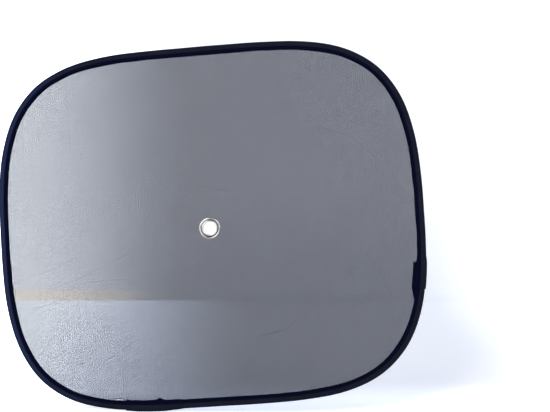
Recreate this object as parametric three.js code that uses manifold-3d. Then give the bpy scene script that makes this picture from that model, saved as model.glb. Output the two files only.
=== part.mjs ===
// A car side window sunshade: a fine black mesh panel held flat by a hoop of spring wire.
// The hoop runs in the fold of a tape that binds the panel's edge, and an eyelet in the middle takes a suction cup.
// Units are millimetres. X runs across the panel, Z is up, and -Y is the side that faces into the car.
// The origin is the centre of the eyelet, in the middle of the mesh.

import * as THREE from "three";
import { mergeVertices } from "three/addons/utils/BufferGeometryUtils.js";
import Module from "manifold-3d";

const wasm = await Module();
wasm.setup();

// The panel, measured over the binding, and how square its outline is across and up
const PANEL_WIDTH = 440;
const PANEL_HEIGHT = 370;
const PANEL_CENTRE_Z = 3;
const SQUARENESS_ACROSS = 4.1;
const SQUARENESS_UP = 2.95;
const EDGE_STATIONS = 96;
const OUTLINE_STEPS = 4000;

// The gap between pieces that touch, and the distance within which two corners are the same one
const CLEARANCE = 0.3;
const SAME_CORNER = 1e-4;

// The mesh: one thin wall with ribs where its wales run and slits between them
const MESH_THICKNESS = 0.5;
const MESH_IN_HEM = 4.6;
const WALE_COLUMNS = 24;
const SLIT_ROWS = 5;
const SLIT_WIDTH = 1.8;
const WEFT_BAR = 7;
const WALE_WIDTH = 1.3;
const WALE_HEIGHT = 0.3;
const SLIT_MARGIN = 3;

// The binding tape, folded over the edge of the mesh and over the wire
const TAPE_THICKNESS = 0.5;
const BINDING_WIDTH = 9.3;
const HEM_WIDTH = 3.2;
const FOLD_HALF_TURN = 100;

// The spring wire and the crimped sleeve that joins its two ends
const WIRE_RADIUS = 0.75;
const WIRE_SIDES = 8;
const WIRE_END_GAP = 1;
const FERRULE_WALL = 0.35;
const FERRULE_LENGTH = 30;
const FERRULE_SIDES = 12;

// The two laps of the binding.
// On the bottom edge the closing length of tape covers the end of the long one, at places along X.
// On the right edge the long one covers the closing one, at places along Z.
const LOWER_LAP_START = -98;
const LOWER_LAP_END = -45;
const SIDE_LAP_BOTTOM = -77;
const SIDE_LAP_TOP = -50;
const LAP_TAPER = 7;

// On the right edge the closing tape is sewn askew, so it stands out of the lap and returns below it
const ASKEW_WIDTH = 4.6;
const ASKEW_AT_END = 0.8;
const ASKEW_RETURN = 13;

// The corner of tape that stands out of the lower lap
const DOG_EAR_X = -63;
const DOG_EAR_WIDTH = 9;
const DOG_EAR_HEIGHT = 2.4;

// The eyelet, pressed from sheet metal, and the washer that its barrel is curled over
const EYELET_BORE_RADIUS = 6.6;
const EYELET_METAL = 0.4;
const EYELET_RADIUS = 11;
const EYELET_SIDES = 40;
const FLANGE_RISE = 1.3;
const LAND_INNER_RADIUS = 8.5;
const LAND_OUTER_RADIUS = 9.9;
const ROLL_RISE = 1.2;
const ROLL_INNER_RADIUS = 8.8;
const CURL_WIDTH = 1.9;
const CURL_RISE = 0.95;

const MESH_FACE = MESH_THICKNESS / 2;
const HEM_INNER = MESH_FACE + CLEARANCE;
const CHANNEL_RADIUS = WIRE_RADIUS + CLEARANCE;
const WIRE_INSET = CHANNEL_RADIUS + TAPE_THICKNESS;
const FERRULE_BORE = WIRE_RADIUS + CLEARANCE;
const FERRULE_RADIUS = FERRULE_BORE + FERRULE_WALL;
const BARREL_RADIUS = EYELET_BORE_RADIUS + EYELET_METAL;
const WASHER_SEAT = -(HEM_INNER + EYELET_METAL);

// The outline of the binding's outer edge is a superellipse.
// This table holds it at even steps of angle, with the length of edge up to each step.
const outline = [];
for (let i = 0; i <= OUTLINE_STEPS; i += 1) {
  const angle = (2 * Math.PI * i) / OUTLINE_STEPS;
  const across = Math.cos(angle);
  const up = Math.sin(angle);
  const x = Math.sign(across) * (PANEL_WIDTH / 2) * Math.abs(across) ** (2 / SQUARENESS_ACROSS);
  const rise = Math.sign(up) * (PANEL_HEIGHT / 2) * Math.abs(up) ** (2 / SQUARENESS_UP);
  const z = PANEL_CENTRE_Z + rise;
  const before = outline[i - 1];
  const length = before ? before.length + Math.hypot(x - before.x, z - before.z) : 0;
  outline.push({ x, z, length });
}
const PERIMETER = outline[OUTLINE_STEPS].length;

// The place on the outline at a length of edge from the right-hand middle, anticlockwise as seen from -Y
function placeAt(length) {
  const wrapped = ((length % PERIMETER) + PERIMETER) % PERIMETER;
  let low = 0;
  let high = OUTLINE_STEPS;
  while (high - low > 1) {
    const middle = (low + high) >> 1;
    if (outline[middle].length <= wrapped) low = middle;
    else high = middle;
  }
  const share = (wrapped - outline[low].length) / (outline[high].length - outline[low].length);
  return {
    x: THREE.MathUtils.lerp(outline[low].x, outline[high].x, share),
    z: THREE.MathUtils.lerp(outline[low].z, outline[high].z, share),
  };
}

// The same place with the unit vector that points into the panel, square to the edge
function edgeAt(length) {
  const reach = PERIMETER / EDGE_STATIONS / 4;
  const here = placeAt(length);
  const before = placeAt(length - reach);
  const after = placeAt(length + reach);
  const run = Math.hypot(after.x - before.x, after.z - before.z);
  return { ...here, inX: -(after.z - before.z) / run, inZ: (after.x - before.x) / run };
}

// The length of edge at which a test on the outline first holds, searched from one length to another
function lengthWhere(test, from, to) {
  for (let i = 0; i <= OUTLINE_STEPS; i += 1) {
    const length = from + ((to - from) * i) / OUTLINE_STEPS;
    if (test(placeAt(length))) return length;
  }
  return to;
}

// A quarter of the edge ends at each axis, so the bottom edge lies in the third and fourth quarters
const HALF = PERIMETER / 2;
const onBottom = (x) => lengthWhere((place) => place.x > x, HALF + PERIMETER / 16, PERIMETER);
const onRight = (z) => lengthWhere((place) => place.z > z, PERIMETER * 0.75, PERIMETER);
const LOWER_START = onBottom(LOWER_LAP_START);
const LOWER_END = onBottom(LOWER_LAP_END);
const SIDE_BOTTOM = onRight(SIDE_LAP_BOTTOM);
const SIDE_TOP = onRight(SIDE_LAP_TOP);
const FERRULE_MIDDLE = (LOWER_START + LOWER_END) / 2;

// How far a length lies into a stretch, from 0 outside it to 1, rising over a taper at each end
function within(length, start, end, taper) {
  const inside = Math.min(length - start, end - length) / taper + 1;
  return THREE.MathUtils.clamp(inside, 0, 1);
}

// The radius of the channel that the tape forms round the wire, which swells over the ferrule
function channelRadius(length) {
  const halfFerrule = FERRULE_LENGTH / 2 + CLEARANCE;
  const swell = within(length, FERRULE_MIDDLE - halfFerrule, FERRULE_MIDDLE + halfFerrule, LAP_TAPER);
  return CHANNEL_RADIUS + swell * (FERRULE_RADIUS - WIRE_RADIUS);
}

// The even stations of the edge between two lengths, with the two ends and any extra ones, in order
function stationsBetween(from, to, extra = []) {
  const pitch = PERIMETER / EDGE_STATIONS;
  const least = pitch / 8;
  const ends = [from, to, ...extra];
  const even = [];
  for (let k = Math.ceil(from / pitch); k * pitch < to; k += 1) even.push(k * pitch);
  const kept = even.filter((length) => ends.every((end) => Math.abs(length - end) > least));
  return [...kept, ...ends].sort((a, b) => a - b);
}

// Sweeps a section along the edge.
// The section gives points [inset from the outer edge, y] for a length of edge.
function sweepAlongEdge(stations, sectionAt) {
  const sections = stations.map(sectionAt);
  const count = sections[0].length;
  const position = [];
  stations.forEach((length, i) => {
    const edge = edgeAt(length);
    for (const [inset, y] of sections[i]) {
      position.push(edge.x + edge.inX * inset, y, edge.z + edge.inZ * inset);
    }
  });
  const index = [];
  for (let i = 0; i < stations.length - 1; i += 1) {
    for (let k = 0; k < count; k += 1) {
      const next = (k + 1) % count;
      const a = i * count + k;
      const b = i * count + next;
      index.push(a, b, a + count, b, b + count, a + count);
    }
  }
  const last = (stations.length - 1) * count;
  const flat = (section) => section.map(([inset, y]) => new THREE.Vector2(inset, y));
  for (const [a, b, c] of THREE.ShapeUtils.triangulateShape(flat(sections[0]), [])) index.push(a, b, c);
  for (const [a, b, c] of THREE.ShapeUtils.triangulateShape(flat(sections.at(-1)), [])) {
    index.push(last + a, last + c, last + b);
  }
  const geometry = new THREE.BufferGeometry();
  geometry.setAttribute("position", new THREE.Float32BufferAttribute(position, 3));
  geometry.setIndex(index);
  return geometry;
}

// Points on a circle round the wire's line, between two angles, where 0 degrees points into the panel
function arcRoundWire(radius, from, to, steps) {
  const points = [];
  for (let i = 0; i <= steps; i += 1) {
    const angle = THREE.MathUtils.degToRad(from + ((to - from) * i) / steps);
    points.push([WIRE_INSET + radius * Math.cos(angle), radius * Math.sin(angle)]);
  }
  return points;
}

// The section of the folded tape: round the wire at its fold, then two legs that close on the mesh in a flat hem.
// The layer's inner face is at radius round the wire and at legs from the middle plane.
function foldedTape(radius, legs, width) {
  const outerLegs = legs + TAPE_THICKNESS;
  const hemStart = width - HEM_WIDTH;
  const foldFrom = 180 - FOLD_HALF_TURN;
  const foldTo = 180 + FOLD_HALF_TURN;
  return [
    [width, legs],
    [hemStart, legs],
    ...arcRoundWire(radius, foldFrom, foldTo, 4),
    [hemStart, -legs],
    [width, -legs],
    [width, -outerLegs],
    [hemStart, -outerLegs],
    ...arcRoundWire(radius + TAPE_THICKNESS, foldTo, foldFrom, 6),
    [hemStart, outerLegs],
    [width, outerLegs],
  ];
}

// Where the channel starts to swell over the ferrule and where it is full, at both ends
function ferruleTurns() {
  const half = FERRULE_LENGTH / 2 + CLEARANCE;
  return [-half - LAP_TAPER, -half, half, half + LAP_TAPER].map((step) => FERRULE_MIDDLE + step);
}

// One layer of tape over another: a lap lifts the upper one by the lower one's thickness and a gap
const LAP_STEP = TAPE_THICKNESS + CLEARANCE;

// The long length of tape, from the side lap over the top and down to the lower lap.
// It lies over the closing one at the side.
const SIDE_BOTTOM_BEFORE = SIDE_BOTTOM - PERIMETER;
const SIDE_TOP_BEFORE = SIDE_TOP - PERIMETER;

function longBindingSection(length) {
  const over = within(length, SIDE_BOTTOM_BEFORE, SIDE_TOP_BEFORE + CLEARANCE, LAP_TAPER) * LAP_STEP;
  return foldedTape(channelRadius(length) + over, HEM_INNER + over, BINDING_WIDTH + over);
}

function longStations() {
  const turns = [SIDE_TOP_BEFORE + CLEARANCE, SIDE_TOP_BEFORE + CLEARANCE + LAP_TAPER];
  return stationsBetween(SIDE_BOTTOM_BEFORE, LOWER_END, [...turns, ...ferruleTurns()]);
}

// The closing length of tape, which wraps over the long one's end at the lower lap and lies askew at the side
const DOG_EAR = onBottom(DOG_EAR_X);

function closingBindingSection(length) {
  const over = within(length, LOWER_START, LOWER_END + CLEARANCE, LAP_TAPER) * LAP_STEP;
  const ear = Math.max(0, 1 - Math.abs(length - DOG_EAR) / (DOG_EAR_WIDTH / 2));
  const askew = within(length, SIDE_BOTTOM, SIDE_TOP, ASKEW_RETURN);
  const alongLap = THREE.MathUtils.clamp((length - SIDE_BOTTOM) / (SIDE_TOP - SIDE_BOTTOM), 0, 1);
  const askewWidth = ASKEW_WIDTH * THREE.MathUtils.lerp(1, ASKEW_AT_END, alongLap);
  const width = BINDING_WIDTH + over + ear * DOG_EAR_HEIGHT + askew * askewWidth;
  return foldedTape(channelRadius(length) + over, HEM_INNER + over, width);
}

function closingStations() {
  const turns = [
    DOG_EAR - DOG_EAR_WIDTH / 2,
    DOG_EAR,
    DOG_EAR + DOG_EAR_WIDTH / 2,
    LOWER_END + CLEARANCE,
    LOWER_END + CLEARANCE + LAP_TAPER,
    SIDE_BOTTOM - ASKEW_RETURN,
    SIDE_BOTTOM,
  ];
  return stationsBetween(LOWER_START, SIDE_TOP, [...turns, ...ferruleTurns()]);
}

function roundSection(radius, sides) {
  return arcRoundWire(radius, 360 - 360 / sides, 0, sides - 1);
}

// The crimped sleeve: a tube round the two wire ends, cut from a solid round bar by a thinner, longer one
function ferruleGeometry() {
  const from = FERRULE_MIDDLE - FERRULE_LENGTH / 2;
  const to = FERRULE_MIDDLE + FERRULE_LENGTH / 2;
  const outside = () => roundSection(FERRULE_RADIUS, FERRULE_SIDES);
  const inside = () => roundSection(FERRULE_BORE, FERRULE_SIDES);
  const bar = sweepAlongEdge(stationsBetween(from, to), outside);
  const bore = sweepAlongEdge(stationsBetween(from - CLEARANCE, to + CLEARANCE), inside);
  return geometryFrom(solidFrom(bar).subtract(solidFrom(bore)));
}

function solidFrom(geometry) {
  const bare = geometry.clone();
  bare.deleteAttribute("normal");
  bare.deleteAttribute("uv");
  const merged = mergeVertices(bare, SAME_CORNER);
  const vertProperties = merged.attributes.position.array;
  const triVerts = new Uint32Array(merged.index.array);
  return new wasm.Manifold(new wasm.Mesh({ numProp: 3, vertProperties, triVerts }));
}

function geometryFrom(solid) {
  const mesh = solid.getMesh();
  const geometry = new THREE.BufferGeometry();
  geometry.setAttribute("position", new THREE.BufferAttribute(mesh.vertProperties, 3));
  geometry.setIndex(new THREE.BufferAttribute(mesh.triVerts, 1));
  geometry.computeVertexNormals();
  return geometry;
}

// How far the outline reaches above and below its centre at an x, once it is brought in by an inset
function heightAt(x, inset) {
  const reach = Math.abs(x) / (PANEL_WIDTH / 2 - inset);
  if (reach >= 1) return 0;
  return (PANEL_HEIGHT / 2 - inset) * (1 - reach ** SQUARENESS_ACROSS) ** (1 / SQUARENESS_UP);
}

// The part of the mesh that the binding leaves in sight
const OPEN_INSET = BINDING_WIDTH + SLIT_MARGIN;
const WALE_PITCH = (PANEL_WIDTH - 2 * OPEN_INSET) / WALE_COLUMNS;
const EYELET_KEEP_OUT = EYELET_RADIUS + SLIT_MARGIN;

// A bar of the mesh's wall along Z: wide across, deep through the wall, between two heights
function uprightBar(x, width, depth, [bottom, top]) {
  const bar = new THREE.BoxGeometry(width, depth, top - bottom);
  bar.translate(x, 0, (top + bottom) / 2);
  return solidFrom(bar);
}

// The slits of one column: the free height shared out in rows, with a bar of mesh between two slits
function slitsOfColumn(x) {
  const height = heightAt(Math.abs(x) + SLIT_WIDTH, OPEN_INSET);
  const rowHeight = (2 * height) / SLIT_ROWS;
  const slits = [];
  for (let row = 0; row < SLIT_ROWS; row += 1) {
    const bottom = PANEL_CENTRE_Z - height + row * rowHeight + WEFT_BAR / 2;
    const top = bottom + rowHeight - WEFT_BAR;
    const nearest = THREE.MathUtils.clamp(0, bottom, top);
    const clearOfEyelet = Math.hypot(Math.abs(x) - SLIT_WIDTH / 2, nearest) > EYELET_KEEP_OUT;
    if (top - bottom > 2 * SLIT_WIDTH && clearOfEyelet) slits.push([bottom, top]);
  }
  return slits;
}

// A wale's rib runs from hem to hem, or stops short of the eyelet on both sides of it
function ribsOfWale(x) {
  const height = heightAt(Math.abs(x) + WALE_WIDTH, OPEN_INSET);
  const bottom = PANEL_CENTRE_Z - height;
  const top = PANEL_CENTRE_Z + height;
  const nearX = Math.max(0, Math.abs(x) - WALE_WIDTH / 2);
  if (nearX > EYELET_KEEP_OUT) return [[bottom, top]];
  const gap = Math.sqrt(EYELET_KEEP_OUT ** 2 - nearX ** 2);
  return [[gap, top], [bottom, -gap]];
}

function meshPanelGeometry() {
  const rim = stationsBetween(0, PERIMETER).slice(0, -1).map((length) => {
    const edge = edgeAt(length);
    return new THREE.Vector2(edge.x + edge.inX * MESH_IN_HEM, edge.z + edge.inZ * MESH_IN_HEM);
  });
  const shape = new THREE.Shape(rim);
  const hole = new THREE.Path();
  hole.absarc(0, 0, BARREL_RADIUS + CLEARANCE, 0, 2 * Math.PI, true);
  shape.holes.push(hole);
  const wall = new THREE.ExtrudeGeometry(shape, {
    depth: MESH_THICKNESS,
    bevelEnabled: false,
    curveSegments: EYELET_SIDES,
  });
  wall.rotateX(Math.PI / 2);
  wall.translate(0, MESH_THICKNESS / 2, 0);
  let solid = solidFrom(wall);
  for (let column = 0; column < WALE_COLUMNS; column += 1) {
    const x = (column - (WALE_COLUMNS - 1) / 2) * WALE_PITCH;
    for (const slit of slitsOfColumn(x)) {
      solid = solid.subtract(uprightBar(x, SLIT_WIDTH, 2 * MESH_THICKNESS, slit));
    }
  }
  for (let wale = 1; wale < WALE_COLUMNS; wale += 1) {
    const x = (wale - WALE_COLUMNS / 2) * WALE_PITCH;
    for (const rib of ribsOfWale(x)) {
      solid = solid.add(uprightBar(x, WALE_WIDTH, MESH_THICKNESS + 2 * WALE_HEIGHT, rib));
    }
  }
  return geometryFrom(solid);
}

// Pressed and clinched metal is turned round Y.
// A profile gives points [radius, y] from the bore up and out and back, and closes on itself.
function turned(profile) {
  const points = [...profile, profile[0]].map(([radius, y]) => new THREE.Vector2(radius, y));
  return new THREE.LatheGeometry(points.reverse(), EYELET_SIDES);
}

// Points on a part of an ellipse in a profile, between two angles in degrees, where 90 points along +Y
function bend([middleRadius, middleY], [across, along], from, to, steps) {
  const points = [];
  for (let i = 0; i <= steps; i += 1) {
    const angle = THREE.MathUtils.degToRad(from + ((to - from) * i) / steps);
    points.push([middleRadius + across * Math.cos(angle), middleY + along * Math.sin(angle)]);
  }
  return points;
}

// The eyelet: a domed flange with a flat land on the +Y side, a barrel through the mesh, and the barrel's curl
function eyeletGeometry() {
  const under = HEM_INNER;
  const curlUnder = WASHER_SEAT - CLEARANCE;
  const innerBend = LAND_INNER_RADIUS - EYELET_BORE_RADIUS;
  const outerBend = EYELET_RADIUS - LAND_OUTER_RADIUS;
  const inner = [LAND_INNER_RADIUS, under];
  const outer = [LAND_OUTER_RADIUS, under];
  const liningRise = FLANGE_RISE - EYELET_METAL;
  const curlMiddle = [EYELET_BORE_RADIUS + CURL_WIDTH / 2, curlUnder];
  return turned([
    ...bend(inner, [innerBend, FLANGE_RISE], 180, 90, 4),
    ...bend(outer, [outerBend, FLANGE_RISE], 90, 0, 4),
    ...bend(outer, [outerBend - EYELET_METAL, liningRise], 0, 90, 3),
    ...bend(inner, [innerBend - EYELET_METAL, liningRise], 90, 180, 3),
    [BARREL_RADIUS, curlUnder],
    ...bend(curlMiddle, [CURL_WIDTH / 2, CURL_RISE], 360, 180, 8),
  ]);
}

// The washer: a flat seat under the curl and a hollow roll round it
function washerGeometry() {
  const face = -HEM_INNER;
  const seatInner = BARREL_RADIUS + CLEARANCE;
  const rollHalf = (EYELET_RADIUS - ROLL_INNER_RADIUS) / 2;
  const rollMiddle = [EYELET_RADIUS - rollHalf, face];
  const seatMeets = 180 + THREE.MathUtils.radToDeg(Math.asin(EYELET_METAL / ROLL_RISE));
  return turned([
    [seatInner, face],
    ...bend(rollMiddle, [rollHalf - EYELET_METAL, ROLL_RISE - EYELET_METAL], 180, 360, 4),
    ...bend(rollMiddle, [rollHalf, ROLL_RISE], 360, seatMeets, 8),
    [seatInner, WASHER_SEAT],
  ]);
}

const meshFabric = new THREE.MeshStandardMaterial({
  color: 0x20222b,
  roughness: 0.75,
  metalness: 0,
  transparent: true,
  opacity: 0.6,
  side: THREE.DoubleSide,
});
const tapeFabric = new THREE.MeshStandardMaterial({ color: 0x10121c, roughness: 0.9, metalness: 0 });
const springSteel = new THREE.MeshStandardMaterial({ color: 0x8c8f94, roughness: 0.35, metalness: 1 });
const nickelPlate = new THREE.MeshStandardMaterial({ color: 0xd9d8dc, roughness: 0.2, metalness: 1 });

const sunshade = new THREE.Group();
sunshade.name = "window_sunshade";

function addPiece(name, geometry, material) {
  const piece = new THREE.Mesh(geometry, material);
  piece.name = name;
  sunshade.add(piece);
}

const wireStart = FERRULE_MIDDLE + WIRE_END_GAP / 2;
const wireEnd = FERRULE_MIDDLE + PERIMETER - WIRE_END_GAP / 2;
const wireSection = () => roundSection(WIRE_RADIUS, WIRE_SIDES);

addPiece("mesh_panel", meshPanelGeometry(), meshFabric);
addPiece("edge_binding", sweepAlongEdge(longStations(), longBindingSection), tapeFabric);
addPiece("closing_binding", sweepAlongEdge(closingStations(), closingBindingSection), tapeFabric);
addPiece("spring_hoop", sweepAlongEdge(stationsBetween(wireStart, wireEnd), wireSection), springSteel);
addPiece("hoop_ferrule", ferruleGeometry(), springSteel);
addPiece("eyelet", eyeletGeometry(), nickelPlate);
addPiece("eyelet_washer", washerGeometry(), nickelPlate);

export default sunshade;
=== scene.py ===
import math

import bpy
import numpy as np
from mathutils import Matrix, Vector
from mathutils.geometry import tessellate_polygon


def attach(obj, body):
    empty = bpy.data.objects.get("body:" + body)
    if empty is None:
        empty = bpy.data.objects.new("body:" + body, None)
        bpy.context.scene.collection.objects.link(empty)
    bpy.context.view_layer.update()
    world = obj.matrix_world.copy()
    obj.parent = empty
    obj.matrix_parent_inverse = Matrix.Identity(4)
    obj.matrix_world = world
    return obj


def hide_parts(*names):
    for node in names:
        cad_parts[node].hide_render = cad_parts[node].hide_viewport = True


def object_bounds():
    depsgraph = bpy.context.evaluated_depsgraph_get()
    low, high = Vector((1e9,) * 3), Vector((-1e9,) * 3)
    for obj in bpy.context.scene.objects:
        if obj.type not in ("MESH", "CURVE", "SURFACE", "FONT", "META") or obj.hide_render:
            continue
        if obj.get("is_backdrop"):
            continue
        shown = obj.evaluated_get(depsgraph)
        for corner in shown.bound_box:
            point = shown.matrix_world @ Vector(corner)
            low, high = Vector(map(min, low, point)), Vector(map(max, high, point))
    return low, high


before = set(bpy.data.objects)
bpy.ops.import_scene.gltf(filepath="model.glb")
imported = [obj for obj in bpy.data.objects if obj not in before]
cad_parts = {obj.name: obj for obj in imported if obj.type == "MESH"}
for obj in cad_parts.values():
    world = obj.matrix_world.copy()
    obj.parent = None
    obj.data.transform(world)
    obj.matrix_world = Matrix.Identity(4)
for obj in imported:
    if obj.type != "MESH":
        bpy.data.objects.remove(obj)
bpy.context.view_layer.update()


# The camera
# It stands 2.2 m in front of the panel, a little to the panel's right and below its level, and rolled.
# The panel's middle falls left of the picture's middle.
panel_middle = Vector((0, 0, 0.003))
camera_distance = 2.2
camera_roll = math.radians(3.53)
camera_tip = math.radians(-3.88)
camera_swing = math.radians(-9.12)
picture_width, picture_height = 550, 412
film_width = 36
focal_pixels = 2147
middle_pixel = (209.7, 225.3)
camera_turn = (
    Matrix.Rotation(camera_roll, 3, "Z")
    @ Matrix.Rotation(camera_tip, 3, "X")
    @ Matrix.Rotation(camera_swing, 3, "Y")
)
level_camera = Matrix(((1, 0, 0), (0, 0, 1), (0, -1, 0)))
camera_axes = (camera_turn @ level_camera).transposed()
view_right = camera_axes.col[0].copy()
view_up = camera_axes.col[1].copy()
view_back = camera_axes.col[2].copy()
towards_middle = Vector((
    middle_pixel[0] - picture_width / 2,
    picture_height / 2 - middle_pixel[1],
    -focal_pixels,
))
aim = towards_middle.rotation_difference(Vector((0, 0, -1))).to_matrix()
camera_data = bpy.data.cameras.new("camera")
camera_data.lens = film_width * focal_pixels / picture_width
camera_data.sensor_width = film_width
camera_data.clip_end = 50
camera = bpy.data.objects.new("camera", camera_data)
bpy.context.collection.objects.link(camera)
camera_place = Matrix.Translation(panel_middle + view_back * camera_distance)
camera.matrix_world = camera_place @ (camera_axes @ aim).to_4x4()
bpy.context.scene.camera = camera


# The edge of the panel
# The panel is cut and bound to a superellipse, the same as in the part.
# Places on it are millimetres of edge from the right-hand middle, anticlockwise as seen from the front.
half_width = 220
half_height = 185
centre_z = 3
square_across = 4.1
square_up = 2.95
bottom_begins = 0.56
lower_right_begins = 0.76
tangent_reach = 4
turn = np.linspace(0, 2 * math.pi, 40001)
outline_x = np.sign(np.cos(turn)) * half_width * np.abs(np.cos(turn)) ** (2 / square_across)
outline_z = centre_z + np.sign(np.sin(turn)) * half_height * np.abs(np.sin(turn)) ** (2 / square_up)
outline_length = np.concatenate([[0], np.cumsum(np.hypot(np.diff(outline_x), np.diff(outline_z)))])
perimeter = outline_length[-1]


def edge_at(length):
    """Places on the outer edge and the unit vectors that point into the panel there."""
    def place(at):
        at = np.mod(at, perimeter)
        return np.interp(at, outline_length, outline_x), np.interp(at, outline_length, outline_z)
    x, z = place(length)
    before_x, before_z = place(length - tangent_reach)
    after_x, after_z = place(length + tangent_reach)
    run = np.hypot(after_x - before_x, after_z - before_z)
    return x, z, -(after_z - before_z) / run, (after_x - before_x) / run


def edge_length_at(x=None, z=None):
    """The length of edge at a place on the bottom edge by its x, or on the lower right edge by its z."""
    lower = outline_length > perimeter * (bottom_begins if z is None else lower_right_begins)
    test = (outline_x > x) if z is None else (outline_z > z)
    return outline_length[np.argmax(lower & test)]


def reach_at(across, inset):
    """How far the outline reaches up from its centre at an x, once it is brought in by an inset."""
    share = np.clip(np.abs(across) / (half_width - inset), 0, 1)
    return (half_height - inset) * (1 - share ** square_across) ** (1 / square_up)


def width_at(up, inset):
    """How far the outline reaches across from its centre at a height, once it is brought in by an inset."""
    share = np.clip(np.abs(up) / (half_height - inset), 0, 1)
    return (half_width - inset) * (1 - share ** square_up) ** (1 / square_across)


def smooth(value, low, high):
    share = np.clip((value - low) / (high - low), 0, 1)
    return share * share * (3 - 2 * share)


# The mesh panel
# A net of fine black polyester, knitted in upright wales, every third one wider, with cross threads behind.
# It is cut to the edge and held in the binding, in soft waves and with the thin creases of frequent folding.
# Its real threads are too fine to show, so they are drawn as coarse as the render needs, at 0.8 mm.
thread_pitch = 0.8
thread_thickness = 0.12
wale_widths = (0.55, 0.49, 0.49)
cross_width = 0.5
net_inset = 5
hand = np.random.default_rng(7)
hole_radius = 8.2
creases = [
    [(-159, 72), (-120, 69)],
    [(-154, 53), (-144, 34)],
    [(-142, 118), (-141, 100)],
    [(-84, 59), (-77, 47)],
    [(-202, -40), (-161, -29), (-140, -19)],
    [(-167, -51), (-142, -43), (-101, -27), (-76, -15)],
    [(-142, -48), (-113, -46), (-69, -46)],
    [(-200, -70), (-181, -69), (-169, -66)],
    [(-116, -128), (-97, -117), (-81, -109)],
    [(-71, -77), (-65, -90)],
    [(-60, -128), (-41, -121)],
    [(-38, 62), (-8, 44), (24, 36)],
    [(60, -48), (96, -36), (121, -19)],
    [(118, 96), (150, 84), (176, 58)],
    [(30, -118), (72, -108), (96, -92)],
    [(150, -28), (171, -52), (180, -80)],
]
crease_runs = [(np.array(a, float), np.array(b, float)) for line in creases for a, b in zip(line, line[1:])]
crease_width = 1.2
crease_pull = 0.26
crease_lift = 0.15
crease_end = 4
wave_height = 0.9
ripple_height = 0.5
first_thread = 0.3
station_step = 30
around_crease = np.array([-4, -2, -0.8, 0, 0.8, 2, 4])
torn_x = -104
torn_half_length = 4.5
torn_half_height = 0.6


def crease_shift(x, z):
    """How the creases draw the net together towards their lines, and how far they lift it."""
    shift_x = np.zeros_like(x)
    shift_z = np.zeros_like(x)
    lift = np.zeros_like(x)
    for start, end in crease_runs:
        along = end - start
        length = np.hypot(*along)
        along = along / length
        u = (x - start[0]) * along[0] + (z - start[1]) * along[1]
        v = -(x - start[0]) * along[1] + (z - start[1]) * along[0]
        fade = smooth(u, -crease_end, crease_end) * smooth(length - u, -crease_end, crease_end)
        pull = -crease_pull * v / crease_width * np.exp(-((v / crease_width) ** 2)) * fade
        shift_x += -along[1] * pull
        shift_z += along[0] * pull
        lift += crease_lift * np.exp(-((v / crease_width) ** 2)) * fade
    return shift_x, shift_z, lift


def relief(x, z):
    """How far the net stands in front of its plane: soft pulls that die out at the hem and at the eyelet."""
    up = z - centre_z
    nearness = (np.abs(x) / half_width) ** square_across + (np.abs(up) / half_height) ** square_up
    free = smooth(0.86 - nearness, 0, 0.25) * smooth(np.hypot(x, z), 13, 40)
    waves = wave_height * np.sin(x / 31 + 0.8 * np.sin(z / 47)) * np.sin(z / 39 + 0.6)
    ripples = ripple_height * np.sin((x + 0.7 * z) / 14 + 1.3) * np.exp(-(((x - 40) / 120) ** 2))
    return free * (waves + ripples)


def stations(fixed, low, high, along_x):
    """Where a thread needs points: at even steps, and closely where it crosses a crease."""
    wanted = [np.linspace(low, high, max(3, int((high - low) / station_step)))]
    for start, end in crease_runs:
        a, b = (start[1], end[1]) if along_x else (start[0], end[0])
        if min(a, b) - 3 <= fixed <= max(a, b) + 3:
            share = np.clip((fixed - a) / (b - a), 0, 1) if abs(b - a) > 1e-6 else 0.5
            here = start + (end - start) * share
            wanted.append((here[0] if along_x else here[1]) + around_crease)
    every = np.unique(np.round(np.concatenate(wanted), 2))
    every = every[(every > low) & (every < high)]
    return np.concatenate([[low], every, [high]])


torn_z = centre_z - reach_at(torn_x, 10.1)


def clear_spans(fixed, low, high, along_x):
    """The stretches of a thread outside the eyelet's hole, and for a cross thread outside the torn spot too."""
    cuts = []
    if abs(fixed) < hole_radius:
        half = math.sqrt(hole_radius ** 2 - fixed ** 2)
        cuts.append((-half, half))
    if along_x and abs(fixed - torn_z) < torn_half_height:
        cuts.append((torn_x - torn_half_length, torn_x + torn_half_length))
    spans = []
    for cut_low, cut_high in sorted(cuts):
        spans.append((low, cut_low))
        low = cut_high
    spans.append((low, high))
    return [span for span in spans if span[1] - span[0] > 0.5]


net_points = []
net_faces = []
net_count = 0


def add_thread(fixed, low, high, width, depth, along_x):
    """One flat thread of the net, with four corners at each station, closed at both ends."""
    global net_count
    at = stations(fixed, low, high, along_x)
    side = np.full_like(at, fixed)
    x, z = (at, side) if along_x else (side, at)
    shift_x, shift_z, lift = crease_shift(x, z)
    y = -relief(x, z) - lift
    rings = []
    for across, through in ((-1, -1), (1, -1), (1, 1), (-1, 1)):
        offset = across * width / 2
        px = x + shift_x + (0 if along_x else offset)
        pz = z + shift_z + (offset if along_x else 0)
        rings.append(np.stack([px, y + depth + through * thread_thickness / 2, pz], axis=1))
    points = np.stack(rings, axis=1).reshape(-1, 3)
    count = len(at)
    base = np.arange(count - 1)[:, None] * 4
    sides = [
        np.concatenate([base + k, base + (k + 1) % 4, base + 4 + (k + 1) % 4, base + 4 + k], axis=1)
        for k in range(4)
    ]
    both_ends = np.array([[3, 2, 1, 0], 4 * count - np.array([4, 3, 2, 1])])
    faces = np.concatenate(sides + [both_ends])
    if not along_x:
        faces = faces[:, ::-1]
    net_points.append(points)
    net_faces.append(faces + net_count)
    net_count += len(points)


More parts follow.
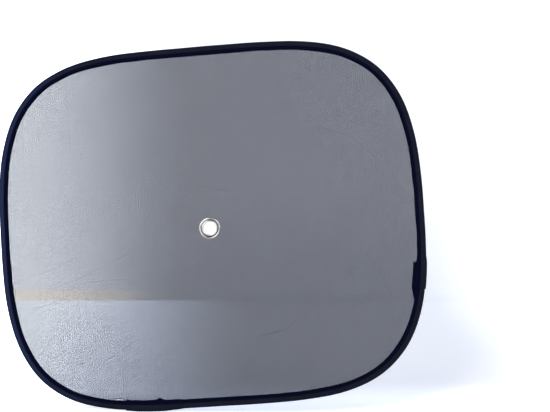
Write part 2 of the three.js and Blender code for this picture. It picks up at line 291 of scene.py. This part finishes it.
wale_places = np.arange(-half_width + net_inset + first_thread, half_width - net_inset, thread_pitch)
for number, x in enumerate(wale_places):
    reach = reach_at(x, net_inset)
    for low, high in clear_spans(x, centre_z - reach, centre_z + reach, False):
        width = wale_widths[number % 3] * hand.uniform(0.99, 1.01)
        add_thread(x + hand.uniform(-0.015, 0.015), low, high, width, -thread_thickness / 2, False)
lowest = centre_z - half_height + net_inset + first_thread
for z in np.arange(lowest, centre_z + half_height - net_inset, thread_pitch):
    reach = width_at(z - centre_z, net_inset)
    for low, high in clear_spans(z, -reach, reach, True):
        add_thread(z, low, high, cross_width, thread_thickness / 2, True)


def colour(code):
    """The linear colour that an sRGB code such as #1b1d2b stands for."""
    channels = [int(code[i:i + 2], 16) / 255 for i in (1, 3, 5)]
    linear = [c / 12.92 if c <= 0.04045 else ((c + 0.055) / 1.055) ** 2.4 for c in channels]
    return (*linear, 1)


def add_node(tree, kind, settings=(), **inputs):
    """A shader node with its settings. Its inputs are set or linked by name, or by number as in _0."""
    node = tree.nodes.new(kind)
    for key, value in dict(settings).items():
        setattr(node, key, value)
    for key, value in inputs.items():
        socket = node.inputs[int(key[1:]) if key[0] == "_" else key.replace("_", " ")]
        if isinstance(value, bpy.types.NodeSocket):
            tree.links.new(value, socket)
        else:
            socket.default_value = value
    return node


def new_material(name):
    """An empty procedural material, its node tree, and the socket that its surface goes into."""
    material = bpy.data.materials.new(name)
    material.use_nodes = True
    tree = material.node_tree
    tree.nodes.clear()
    output = tree.nodes.new("ShaderNodeOutputMaterial")
    return material, tree, output.inputs["Surface"]


def add_mesh(name, points_mm, faces, material, smooth, lit_crown=None):
    """A piece from points in millimetres that rides on the panel, and how much painted highlight each point
    gets on the tape's crown, if given.
    """
    mesh = bpy.data.meshes.new(name)
    mesh.vertices.add(len(points_mm))
    mesh.vertices.foreach_set("co", (np.asarray(points_mm) * 0.001).astype(np.float32).ravel())
    corners = faces.shape[1]
    mesh.loops.add(faces.size)
    mesh.loops.foreach_set("vertex_index", faces.astype(np.int32).ravel())
    mesh.polygons.add(len(faces))
    mesh.polygons.foreach_set("loop_start", np.arange(0, faces.size, corners, dtype=np.int32))
    mesh.polygons.foreach_set("use_smooth", np.full(len(faces), smooth))
    mesh.update(calc_edges=True)
    if lit_crown is not None:
        crown_highlight = mesh.attributes.new("lit_crown", "FLOAT", "POINT")
        crown_highlight.data.foreach_set("value", lit_crown.astype(np.float32).ravel())
    mesh.validate()
    piece = bpy.data.objects.new(name, mesh)
    bpy.context.collection.objects.link(piece)
    piece.data.materials.append(material)
    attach(piece, "root")
    return piece

# Polyester filament yarn, dyed black and knitted: matt, with a blue cast that fades unevenly over centimetres
# Some light comes through between its filaments, as through the holes that the finer real net has there
fading_patch = 45.5
filament = 0.4
clear_share = 0.32
mesh_fabric, tree, surface = new_material("black_polyester_net")
place = add_node(tree, "ShaderNodeTexCoord").outputs["Object"]
fading = add_node(tree, "ShaderNodeTexNoise",
                  Vector=place, Scale=1000 / fading_patch, Detail=3.0).outputs["Fac"]
tone = add_node(tree, "ShaderNodeMix", {"data_type": "RGBA"},
                _0=fading, _6=colour("#141a29"), _7=colour("#202739")).outputs[2]
fibre = add_node(tree, "ShaderNodeTexNoise", Vector=place, Scale=1000 / filament, Detail=1.0).outputs["Fac"]
bump = add_node(tree, "ShaderNodeBump", Height=fibre, Strength=0.3, Distance=0.00005).outputs[0]
shader = add_node(tree, "ShaderNodeBsdfPrincipled", Base_Color=tone, Roughness=0.6, Normal=bump)
shader.inputs["Specular IOR Level"].default_value = 0.1
between = add_node(tree, "ShaderNodeBsdfTransparent").outputs[0]
yarn = add_node(tree, "ShaderNodeMixShader", _0=clear_share, _1=shader.outputs[0], _2=between)
tree.links.new(yarn.outputs[0], surface)

net = add_mesh("mesh_net", np.concatenate(net_points), np.concatenate(net_faces), mesh_fabric, False)
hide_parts("mesh_panel")


# The edge binding, in two lengths of woven polyester tape
# Each is folded over the wire and sewn to the net in a flat hem, which the seam dimples at every stitch.
# The closing length laps over the long one at the bottom left and runs under it, askew, at the right.
tape_thickness = 0.5
clearance = 0.3
mesh_face = 0.25
channel_radius = 1.05
wire_inset = channel_radius + tape_thickness
binding_width = 9.3
seam_inset = 5.7
stitch_pitch = 3.2
ferrule_swell = 0.65
swell_half_length = 15.3
lap_step = tape_thickness + clearance
lap_taper = 7
crown_bulge = 0.28
hem_bulge = 0.16
seam_width = 0.7
seam_depth = 0.22
stitch_dimple = 0.1
pucker = 0.07
edge_rounding = 0.3
unevenness = 0.25
lower_start = edge_length_at(x=-98)
lower_end = edge_length_at(x=-45)
side_bottom = edge_length_at(z=-77)
side_top = edge_length_at(z=-50)
ferrule_middle = (lower_start + lower_end) / 2
dog_ear = edge_length_at(x=-63)
dog_ear_half_length = 4.5
dog_ear_width = 2.4
skew_taper = 13
skew_width = 4.6
corner_width = 0.9
corner_length = 1.5


def within(length, start, end, taper):
    """How far a length lies into a stretch, from 0 outside it to 1, rising over a taper at each end."""
    return np.clip(np.minimum(length - start, end - length) / taper + 1, 0, 1)


def wander(length, seed):
    """The small unevenness of a hand-guided seam, between -1 and 1."""
    slow = 0.4 * np.sin(length / 41 + 5 * seed)
    quick = 0.6 * np.sin(length / 7.3 + 2 * seed)
    return (np.sin(length / 17 + seed) + quick + slow) / 2


def tape_rings(length, lift, width):
    """The folded tape's section at each length: rows of (inset, y), from the inner edge of its front leg."""
    sleeve = (ferrule_middle - swell_half_length, ferrule_middle + swell_half_length)
    swell = within(length, *sleeve, lap_taper) * ferrule_swell
    inner = (channel_radius + swell + lift)[:, None]
    legs = (mesh_face + clearance + lift)[:, None]
    width = width[:, None]
    length = length[:, None]
    along = 2 * math.pi * length / stitch_pitch
    rings = []

    def skin(side, seed):
        inset = wire_inset + (width - wire_inset) * np.linspace(0.08, 1, 15)[None, :]
        fall = smooth(inset, wire_inset, seam_inset)
        crown = inner + tape_thickness
        hem = legs + tape_thickness
        crown_share = np.clip((inset - wire_inset) / 4.3, 0, 1)
        hem_share = np.clip((inset - seam_inset) / (width - seam_inset), 0, 1)
        half = crown + (hem - crown) * fall + crown_bulge * np.sin(math.pi * crown_share)
        half += hem_bulge * np.sin(math.pi * hem_share)
        seam = np.exp(-(((inset - seam_inset) / seam_width) ** 2))
        half -= seam * (seam_depth + stitch_dimple * np.cos(along))
        puckered = np.sin(along / 2.3 + inset * 0.9 + seed) * np.sin(length / 23 + seed) ** 2
        half += pucker * puckered * (1 - seam)
        half -= edge_rounding * smooth(inset, width - 0.5, width)
        return inset + 0 * length, side * half

    front_inset, front_y = skin(-1, 0.7)
    back_inset, back_y = skin(1, 2.9)
    angles = np.radians(np.linspace(280, 80, 11))[None, :]
    outer = inner + tape_thickness
    fold_inset = wire_inset + outer * np.cos(angles)
    fold_y = outer * np.sin(angles)
    inner_angles = np.radians(np.linspace(80, 280, 6))[None, :]
    lining_inset = wire_inset + inner * np.cos(inner_angles)
    lining_y = inner * np.sin(inner_angles)
    hem_start = np.maximum(width - 3.2, 6.1) + 0 * length
    edge = width + 0 * length
    for inset, y in (
        (front_inset[:, ::-1], front_y[:, ::-1]), (fold_inset, fold_y), (back_inset, back_y),
        (edge, legs), (hem_start, legs), (lining_inset, lining_y), (hem_start, -legs), (edge, -legs),
    ):
        rings.append(np.stack([inset + 0 * length, y + 0 * length], axis=2))
    return np.concatenate(rings, axis=1)


def tape_mesh(start, end, shape):
    """Sweeps the folded tape along the edge between two lengths and closes both of its ends."""
    length = np.linspace(start, end, int((end - start) / 1.25))
    rings = tape_rings(length, *shape(length))
    x, z, in_x, in_z = edge_at(length)
    inset = rings[:, :, 0] + 0.15 * wander(length, 4.0)[:, None]
    points_x = x[:, None] + in_x[:, None] * inset
    points_z = z[:, None] + in_z[:, None] * inset
    points = np.stack([points_x, rings[:, :, 1], points_z], axis=2)
    rows, count = rings.shape[:2]
    row = (np.arange(rows - 1) * count)[:, None]
    k = np.arange(count)[None, :]
    following = (k + 1) % count
    lower = np.stack([row + k, row + following, row + count + following], axis=2).reshape(-1, 3)
    upper = np.stack([row + k, row + count + following, row + count + k], axis=2).reshape(-1, 3)
    first_cap = np.array(tessellate_polygon([[Vector((*corner, 0)) for corner in rings[0]]]))
    last_cap = np.array(tessellate_polygon([[Vector((*corner, 0)) for corner in rings[-1]]]))
    # Where the tape rounds the wire it is marked for the painted highlight; the flat hem past the seam is not,
    # and keeps the dark colour
    lit_crown = 1 - smooth(rings[:, :, 0], seam_inset - 1.2, seam_inset - 0.2)
    faces = np.concatenate([lower, upper, first_cap[:, ::-1], last_cap + (rows - 1) * count])
    return points.reshape(-1, 3), faces, lit_crown


def long_shape(length):
    """The long tape, which steps up over the closing one at the right-hand lap."""
    lap_end = side_top - perimeter + clearance
    lift = within(length, side_bottom - perimeter, lap_end, lap_taper) * lap_step
    return lift, binding_width + lift + unevenness * wander(length, 1.0)


def closing_shape(length):
    """The closing tape, over the long one at the lower lap with a dog ear there, and askew at the right."""
    lift = within(length, lower_start, lower_end + clearance, lap_taper) * lap_step
    ear = dog_ear_width * np.clip(1 - np.abs(length - dog_ear) / dog_ear_half_length, 0, 1)
    share = np.clip((length - side_bottom) / (side_top - side_bottom), 0, 1)
    askew = within(length, side_bottom, side_top, skew_taper) * skew_width * (1 - 0.2 * share)
    corner = corner_width * np.exp(-(length - lower_start) / corner_length)
    return lift, binding_width + lift + unevenness * wander(length, 3.0) + ear + askew + corner


# Polyester tape, woven in black with a dark blue cast: matt, and painted a little grey in random patches where
# it rounds the wire: a painted highlight of the light that the rounded crown catches
# Its left side is painted lighter and bluer still: painted light from the left
weave_pitch = 0.982
highlight_patch = 16.7
lit_left_x = (-0.215, -0.12)
tape_fabric, tree, surface = new_material("woven_polyester_tape")
place = add_node(tree, "ShaderNodeTexCoord").outputs["Object"]
# The mark from the mesh says where the painted highlight goes on the crown, and the patches break it up at
# random
lit_crown = add_node(tree, "ShaderNodeAttribute", {"attribute_name": "lit_crown"}).outputs["Fac"]
patches = add_node(tree, "ShaderNodeTexNoise", Vector=place, Scale=1000 / highlight_patch, Detail=4.0).outputs["Fac"]
crown_highlight = add_node(tree, "ShaderNodeMix", {"data_type": "RGBA"},
                  _0=patches, _6=colour("#0d0f18"), _7=colour("#1b1e2a")).outputs[2]
# Painted light: towards the left side the crown colour turns lighter and bluer, as if lit from there
across = add_node(tree, "ShaderNodeSeparateXYZ", Vector=place).outputs["X"]
left_light_share = add_node(tree, "ShaderNodeMapRange", Value=across,
                    _1=lit_left_x[0], _2=lit_left_x[1], _3=1.0, _4=0.0).outputs[0]
crown_highlight = add_node(tree, "ShaderNodeMix", {"data_type": "RGBA"},
                  _0=left_light_share, _6=crown_highlight, _7=colour("#1f2640")).outputs[2]
# The hem keeps the plain dark colour; the crown takes the painted highlight
tone = add_node(tree, "ShaderNodeMix", {"data_type": "RGBA"},
                _0=lit_crown, _6=colour("#05071a"), _7=crown_highlight).outputs[2]
weave_scale = 1000 * 2 * math.pi / 20 / weave_pitch
weft = add_node(tree, "ShaderNodeTexWave", {"bands_direction": "Z"},
                Vector=place, Scale=weave_scale, Distortion=1.5).outputs[1]
warp = add_node(tree, "ShaderNodeTexWave", {"bands_direction": "X"},
                Vector=place, Scale=weave_scale, Distortion=1.5).outputs[1]
weave = add_node(tree, "ShaderNodeMath", {"operation": "MULTIPLY"}, _0=weft, _1=warp).outputs[0]
bump = add_node(tree, "ShaderNodeBump", Height=weave, Strength=0.5, Distance=0.00012).outputs[0]
shader = add_node(tree, "ShaderNodeBsdfPrincipled", Base_Color=tone, Roughness=0.85, Normal=bump)
shader.inputs["Specular IOR Level"].default_value = 0.03
tree.links.new(shader.outputs[0], surface)

points, faces, lit_crown = tape_mesh(side_bottom - perimeter, lower_end, long_shape)
long_tape = add_mesh("binding_long_tape", points, faces, tape_fabric, True, lit_crown)
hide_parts("edge_binding")
points, faces, lit_crown = tape_mesh(lower_start, side_top, closing_shape)
closing_tape = add_mesh("binding_closing_tape", points, faces, tape_fabric, True, lit_crown)
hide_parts("closing_binding")


# The seam of the binding
# A lockstitch of black polyester thread is sewn round the hem, a short bar of it to each stitch on each face.
# A loop of it has come loose over the small tear in the net beside the lower lap.
thread_radius = 0.17
stitch_half_length = 1.25
thread_sinks = 0.02
loop_radius = 0.33
loop_rise = 2.4
loop_half_length = torn_half_length + 0.8


def add_bars(starts, ends, radius, turns=6):
    """Short rounded bars of thread between pairs of points, each closed to a blunt point at both ends."""
    points = []
    faces = []
    share = np.array([0, 0.12, 0.5, 0.88, 1])
    girth = np.array([0.35, 0.9, 1, 0.9, 0.35])
    angles = 2 * math.pi * np.arange(turns) / turns
    for start, end in zip(starts, ends):
        base = len(points) * len(share) * turns
        axis = (end - start) / np.linalg.norm(end - start)
        side = np.cross(axis, (0.0, 1.0, 0.0))
        side /= np.linalg.norm(side)
        other = np.cross(axis, side)
        ring = np.cos(angles)[:, None] * side + np.sin(angles)[:, None] * other
        middle = start + share[:, None] * (end - start)
        points.append((middle[:, None, :] + radius * girth[:, None, None] * ring[None]).reshape(-1, 3))
        for i in range(len(share) - 1):
            for k in range(turns):
                a = base + i * turns + k
                b = base + i * turns + (k + 1) % turns
                faces += [(a, b, b + turns), (a, b + turns, a + turns)]
        last = base + (len(share) - 1) * turns
        faces += [(base, base + k + 1, base + k) for k in range(1, turns - 1)]
        faces += [(last, last + k, last + k + 1) for k in range(1, turns - 1)]
    return np.concatenate(points), np.array(faces)


# Polyester sewing thread, twisted from black filaments: matt, with the slant of its twist
twist_pitch = 0.7
seam_thread, tree, surface = new_material("black_sewing_thread")
place = add_node(tree, "ShaderNodeTexCoord").outputs["Object"]
twist = add_node(tree, "ShaderNodeTexWave", {"bands_direction": "DIAGONAL"},
                 Vector=place, Scale=1000 * 2 * math.pi / 10 / twist_pitch).outputs[1]
bump = add_node(tree, "ShaderNodeBump", Height=twist, Strength=0.4, Distance=0.00006).outputs[0]
tone = add_node(tree, "ShaderNodeMix", {"data_type": "RGBA"},
                _0=twist, _6=colour("#030408"), _7=colour("#0a0c14")).outputs[2]
shader = add_node(tree, "ShaderNodeBsdfPrincipled", Base_Color=tone, Roughness=0.6, Normal=bump)
shader.inputs["Specular IOR Level"].default_value = 0.03
tree.links.new(shader.outputs[0], surface)

stitches = int(perimeter / stitch_pitch)
middle = (np.arange(stitches) + 0.5) * perimeter / stitches
lap_lift = np.maximum(
    within(middle, lower_start, lower_end, lap_taper),
    within(middle, side_bottom, side_top, lap_taper),
) * lap_step
ends = []
for step in (-stitch_half_length, stitch_half_length):
    x, z, in_x, in_z = edge_at(middle + step)
    inset = seam_inset + 0.15 * wander(middle, 4.0)
    ends.append((x + in_x * inset, z + in_z * inset))
rise = mesh_face + clearance + tape_thickness + lap_lift - thread_sinks
bars = []
for side in (-1, 1):
    bars.append([np.stack([x, side * rise, z], axis=1) for x, z in ends])
starts = np.concatenate([bars[0][0], bars[1][0]])
finishes = np.concatenate([bars[0][1], bars[1][1]])
seam_points, seam_faces = add_bars(starts, finishes, thread_radius)
seam = add_mesh("binding_seam", seam_points, seam_faces, seam_thread, True)

loop_share = np.linspace(0, 1, 13)
loop_arch = np.sin(math.pi * loop_share)
loop_x = torn_x + loop_half_length * np.cos(math.pi * loop_share)
loop_z = centre_z - reach_at(loop_x, 9.0) + loop_rise * loop_arch
loop_points = np.stack([loop_x, -0.5 - 0.6 * loop_arch, loop_z], axis=1)
loose_points, loose_faces = add_bars(loop_points[:-1], loop_points[1:], loop_radius)
loose = add_mesh("loose_seam_thread", loose_points, loose_faces, seam_thread, True)


# The spring hoop and its ferrule
# A hoop of spring steel wire lies in the fold of the tape, its ends crimped in a sleeve in the lower lap.
# Both stay as they are in the part, hidden by the tape.

# Spring steel, drawn through a die: a soft grey shine with fine dull patches
drawing_patch = 2.5
spring_steel, tree, surface = new_material("drawn_spring_steel")
place = add_node(tree, "ShaderNodeTexCoord").outputs["Object"]
drawing = add_node(tree, "ShaderNodeTexNoise",
                   Vector=place, Scale=1000 / drawing_patch, Detail=2.0).outputs["Fac"]
tone = add_node(tree, "ShaderNodeMix", {"data_type": "RGBA"},
                _0=drawing, _6=colour("#8a8c91"), _7=colour("#a6a8ac")).outputs[2]
shader = add_node(tree, "ShaderNodeBsdfPrincipled", Base_Color=tone, Metallic=1.0, Roughness=0.35)
tree.links.new(shader.outputs[0], surface)
for name in ("spring_hoop", "hoop_ferrule"):
    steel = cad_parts[name]
    steel.data.materials.clear()
    steel.data.materials.append(spring_steel)


# The eyelet and its washer
# The eyelet is pressed from brass sheet, and its barrel is pushed through the net and curled over the washer.
# Both are turned round the bore from the part's profile, with full roundings and a slightly wider groove.
eyelet_sides = 144
bore_radius = 6.6
metal_gauge = 0.4
eyelet_radius = 11
flange_rise = 1.3
land = (8.5, 9.9)
roll_inner = 9.1
roll_rise = 1.2
curl_half = 0.8
curl_rise = 0.95
face = mesh_face + clearance
seat = -(face + metal_gauge)


def bend(middle, across, along, start, end, steps):
    """Points on part of an ellipse between two angles in degrees, where 90 is towards the window."""
    angle = np.radians(np.linspace(start, end, steps + 1))
    return np.stack([middle[0] + across * np.cos(angle), middle[1] + along * np.sin(angle)], axis=1)


def turned(name, profile):
    """A ring turned round the bore from a profile of (radius, y) that closes on itself."""
    profile = np.array(profile)
    angle = 2 * math.pi * np.arange(eyelet_sides) / eyelet_sides
    radius = profile[None, :, 0]
    x = radius * np.cos(angle)[:, None]
    z = radius * np.sin(angle)[:, None]
    points = np.stack([x, profile[None, :, 1] + 0 * x, z], axis=2).reshape(-1, 3)
    count = len(profile)
    row = (np.arange(eyelet_sides) * count)[:, None]
    next_row = ((np.arange(eyelet_sides) + 1) % eyelet_sides * count)[:, None]
    k = np.arange(count)[None, :]
    following = (k + 1) % count
    faces = np.stack([row + k, next_row + k, next_row + following, row + following], axis=2).reshape(-1, 4)
    return add_mesh(name, points, faces, nickel, True)


# Brass sheet, plated in bright nickel: mirror-like and a little warm, with the fine haze of handling
haze_patch = 2.86
nickel, tree, surface = new_material("bright_nickel_plate")
place = add_node(tree, "ShaderNodeTexCoord").outputs["Object"]
haze = add_node(tree, "ShaderNodeTexNoise", Vector=place, Scale=1000 / haze_patch, Detail=4.0).outputs["Fac"]
tone = add_node(tree, "ShaderNodeMix", {"data_type": "RGBA"},
                _0=haze, _6=colour("#c9c4c2"), _7=colour("#efeceb")).outputs[2]
rough = add_node(tree, "ShaderNodeMapRange", Value=haze, _3=0.06, _4=0.16).outputs[0]
shader = add_node(tree, "ShaderNodeBsdfPrincipled", Base_Color=tone, Metallic=1.0, Roughness=rough)
tree.links.new(shader.outputs[0], surface)

inner_bend = land[0] - bore_radius
outer_bend = eyelet_radius - land[1]
lining_rise = flange_rise - metal_gauge
curl_under = seat - clearance
eyelet = turned("eyelet_pressing", [
    *bend((land[0], face), inner_bend, flange_rise, 180, 90, 16),
    *bend((land[1], face), outer_bend, flange_rise, 90, 0, 16),
    *bend((land[1], face), outer_bend - metal_gauge, lining_rise, 0, 90, 8),
    *bend((land[0], face), inner_bend - metal_gauge, lining_rise, 90, 180, 8),
    (bore_radius + metal_gauge, curl_under),
    *bend((bore_radius + curl_half, curl_under), curl_half, curl_rise, 360, 180, 32),
])
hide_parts("eyelet")
roll_half = (eyelet_radius - roll_inner) / 2
roll_middle = (eyelet_radius - roll_half, -face)
seat_meets = 180 + math.degrees(math.asin(metal_gauge / roll_rise))
washer = turned("washer_pressing", [
    (bore_radius + metal_gauge + clearance, -face),
    *bend(roll_middle, roll_half - metal_gauge, roll_rise - metal_gauge, 180, 360, 16),
    *bend(roll_middle, roll_half, roll_rise, 360, seat_meets, 32),
    (bore_radius + metal_gauge + clearance, seat),
])
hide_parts("eyelet_washer")


# The stage
# The panel leans back a little on a sheet of white paper that is level in the picture and curves up behind it.
# The paper is over-bright behind the panel's left side, where the net shows it, with a cream line at its bend.
panel_leans = math.radians(5.25)
back_distance = 0.88
bend_radius = 0.012
paper_half_width = 4
paper_front = -3
paper_top = 4
foot_gap = 0.0012
level = (view_up * math.cos(panel_leans) + view_back * math.sin(panel_leans)).normalized()
edge_x, edge_z, _, _ = edge_at(np.linspace(0, perimeter, 2000))
foot = min(float(x * level.x + z * level.z) for x, z in zip(edge_x, edge_z)) / 1000
floor_right = (view_right - level * view_right.dot(level)).normalized()
floor_back = level.cross(floor_right)
stage_axes = Matrix((floor_right, floor_back, level)).transposed()
floor_origin = level * (foot - foot_gap)

# White studio paper, matt, whose lit face shows as bright as the picture has it at each place
# X runs to the right, Y away and Z up from the panel's foot, and the glow is seen and doesn't light the panel
paper, tree, surface = new_material("white_studio_paper")
place = add_node(tree, "ShaderNodeTexCoord").outputs["Object"]
apart = add_node(tree, "ShaderNodeSeparateXYZ", Vector=place)
smoothly = {"interpolation_type": "SMOOTHSTEP"}
floor_glow = add_node(tree, "ShaderNodeMapRange", smoothly, Value=apart.outputs["X"],
                      _1=-0.25, _2=0.06, _3=2.8, _4=0.0).outputs[0]
wall_glow = add_node(tree, "ShaderNodeMapRange", smoothly, Value=apart.outputs["X"],
                     _1=-0.3, _2=-0.02, _3=2.4, _4=0.0).outputs[0]
on_wall = add_node(tree, "ShaderNodeMapRange", smoothly, Value=apart.outputs["Z"], _1=0.0, _2=0.003).outputs[0]
left_glow = add_node(tree, "ShaderNodeMix", {"data_type": "FLOAT"},
                     _0=on_wall, _2=floor_glow, _3=wall_glow).outputs[0]
behind = add_node(tree, "ShaderNodeMapRange", smoothly, Value=apart.outputs["Y"], _1=0.0, _2=0.12).outputs[0]
front_glow = add_node(tree, "ShaderNodeMapRange", smoothly, Value=apart.outputs["Y"],
                      _1=0.04, _2=0.18, _3=0.66, _4=0.32).outputs[0]
right_glow = add_node(tree, "ShaderNodeMapRange", smoothly, Value=apart.outputs["X"],
                      _1=0.3, _2=0.42, _3=0.0, _4=0.4).outputs[0]
plain_glow = add_node(tree, "ShaderNodeMath", {"operation": "ADD"}, _0=front_glow, _1=right_glow).outputs[0]
amount = add_node(tree, "ShaderNodeMath", {"operation": "MULTIPLY_ADD"},
                  _0=left_glow, _1=behind, _2=plain_glow).outputs[0]
near_bend = add_node(tree, "ShaderNodeMapRange", smoothly, Value=apart.outputs["Z"],
                     _1=0.012, _2=0.018, _3=1.0, _4=0.0).outputs[0]
leftward = add_node(tree, "ShaderNodeMapRange", smoothly, Value=apart.outputs["X"],
                    _1=-0.16, _2=-0.05, _3=1.0, _4=0.0).outputs[0]
cream_line = add_node(tree, "ShaderNodeMath", {"operation": "MULTIPLY"}, _0=near_bend, _1=on_wall).outputs[0]
cream_line = add_node(tree, "ShaderNodeMath", {"operation": "MULTIPLY"}, _0=cream_line, _1=leftward).outputs[0]
side = add_node(tree, "ShaderNodeMapRange", smoothly, Value=apart.outputs["X"], _1=-0.3, _2=0.05).outputs[0]
cast = add_node(tree, "ShaderNodeMix", {"data_type": "RGBA"},
                _0=side, _6=colour("#eff6ff"), _7=colour("#cfdcff")).outputs[2]
glow = add_node(tree, "ShaderNodeMix", {"data_type": "RGBA"},
                _0=cream_line, _6=cast, _7=colour("#fff8ea")).outputs[2]
path = add_node(tree, "ShaderNodeLightPath")
seen = add_node(tree, "ShaderNodeMath", {"operation": "MAXIMUM"},
                _0=path.outputs["Is Camera Ray"], _1=path.outputs["Is Transmission Ray"]).outputs[0]
seen = add_node(tree, "ShaderNodeMath", {"operation": "MULTIPLY_ADD"},
                _0=path.outputs["Is Glossy Ray"], _1=0.25, _2=seen).outputs[0]
strength = add_node(tree, "ShaderNodeMath", {"operation": "MULTIPLY"}, _0=amount, _1=seen).outputs[0]
shader = add_node(tree, "ShaderNodeBsdfPrincipled", Base_Color=colour("#f4f5f7"), Roughness=0.9,
                  Emission_Color=glow, Emission_Strength=strength)
# From behind and from below the paper is clear, so that it never hides the panel
wrong_side = add_node(tree, "ShaderNodeNewGeometry").outputs["Backfacing"]
clear = add_node(tree, "ShaderNodeBsdfTransparent").outputs[0]
sheet = add_node(tree, "ShaderNodeMixShader", _0=wrong_side, _1=shader.outputs[0], _2=clear)
tree.links.new(sheet.outputs[0], surface)

bend_angle = np.radians(np.linspace(0, 90, 13))
bend_starts = back_distance - bend_radius
paper_y = np.concatenate([[paper_front], bend_starts + bend_radius * np.sin(bend_angle), [back_distance]])
paper_z = np.concatenate([[0], bend_radius - bend_radius * np.cos(bend_angle), [paper_top]])
mesh = bpy.data.meshes.new("studio_paper")
corners = [(x, y, z) for y, z in zip(paper_y, paper_z) for x in (-paper_half_width, paper_half_width)]
mesh.from_pydata(corners, [], [(2 * i, 2 * i + 1, 2 * i + 3, 2 * i + 2) for i in range(len(paper_y) - 1)])
mesh.shade_smooth()
studio_paper = bpy.data.objects.new("studio_paper", mesh)
bpy.context.collection.objects.link(studio_paper)
studio_paper.matrix_world = Matrix.Translation(floor_origin) @ stage_axes.to_4x4()
studio_paper.data.materials.append(paper)
studio_paper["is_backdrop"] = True


# The light
# A soft key stands at the upper left in front, a weaker and larger fill at the upper right, in a pale surround.
# Reflections show a dark room instead, with a soft box up on the left and one up on the right.
def area_light(name, place, size, watts):
    """A square soft light in the stage's axes that shines at the panel and stays out of reflections."""
    light = bpy.data.lights.new(name, "AREA")
    light.size = size
    light.energy = watts
    lamp = bpy.data.objects.new(name, light)
    lamp.visible_glossy = False
    bpy.context.collection.objects.link(lamp)
    position = floor_origin + stage_axes @ Vector(place)
    direction = (panel_middle - position).normalized()
    turned_to_panel = direction.to_track_quat("-Z", "Y").to_matrix().to_4x4()
    lamp.matrix_world = Matrix.Translation(position) @ turned_to_panel


area_light("key_light", (-0.4, -1.8, 1.05), 0.5, 32)
area_light("fill_light", (1.2, -1.6, 1.0), 1.2, 4)
world = bpy.data.worlds.new("studio")
bpy.context.scene.world = world
world.use_nodes = True
world.node_tree.nodes.clear()
tree = world.node_tree
surround = 0.45
room = 0.06
soft_boxes = {(-0.68, -0.5, 0.54): 3.2, (0.72, -0.45, 0.53): 2.8}
direction = add_node(tree, "ShaderNodeTexCoord").outputs["Generated"]
for towards, power in soft_boxes.items():
    facing = add_node(tree, "ShaderNodeVectorMath", {"operation": "DOT_PRODUCT"},
                      _0=direction, _1=towards).outputs["Value"]
    box = add_node(tree, "ShaderNodeMapRange", smoothly, Value=facing,
                   _1=0.78, _2=0.9, _3=0.0, _4=power).outputs[0]
    room = add_node(tree, "ShaderNodeMath", {"operation": "ADD"}, _0=room, _1=box).outputs[0]
path = add_node(tree, "ShaderNodeLightPath")
lit = add_node(tree, "ShaderNodeMapRange", Value=path.outputs["Is Glossy Ray"], _3=surround, _4=room).outputs[0]
seen = add_node(tree, "ShaderNodeMath", {"operation": "MAXIMUM"},
                _0=path.outputs["Is Camera Ray"], _1=path.outputs["Is Transmission Ray"]).outputs[0]
strength = add_node(tree, "ShaderNodeMapRange", Value=seen, _3=lit, _4=1.0).outputs[0]
background = add_node(tree, "ShaderNodeBackground", Color=colour("#ffffff"), Strength=strength)
world_output = add_node(tree, "ShaderNodeOutputWorld", Surface=background.outputs[0])
bpy.context.scene.view_settings.view_transform = "Standard"

low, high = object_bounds()
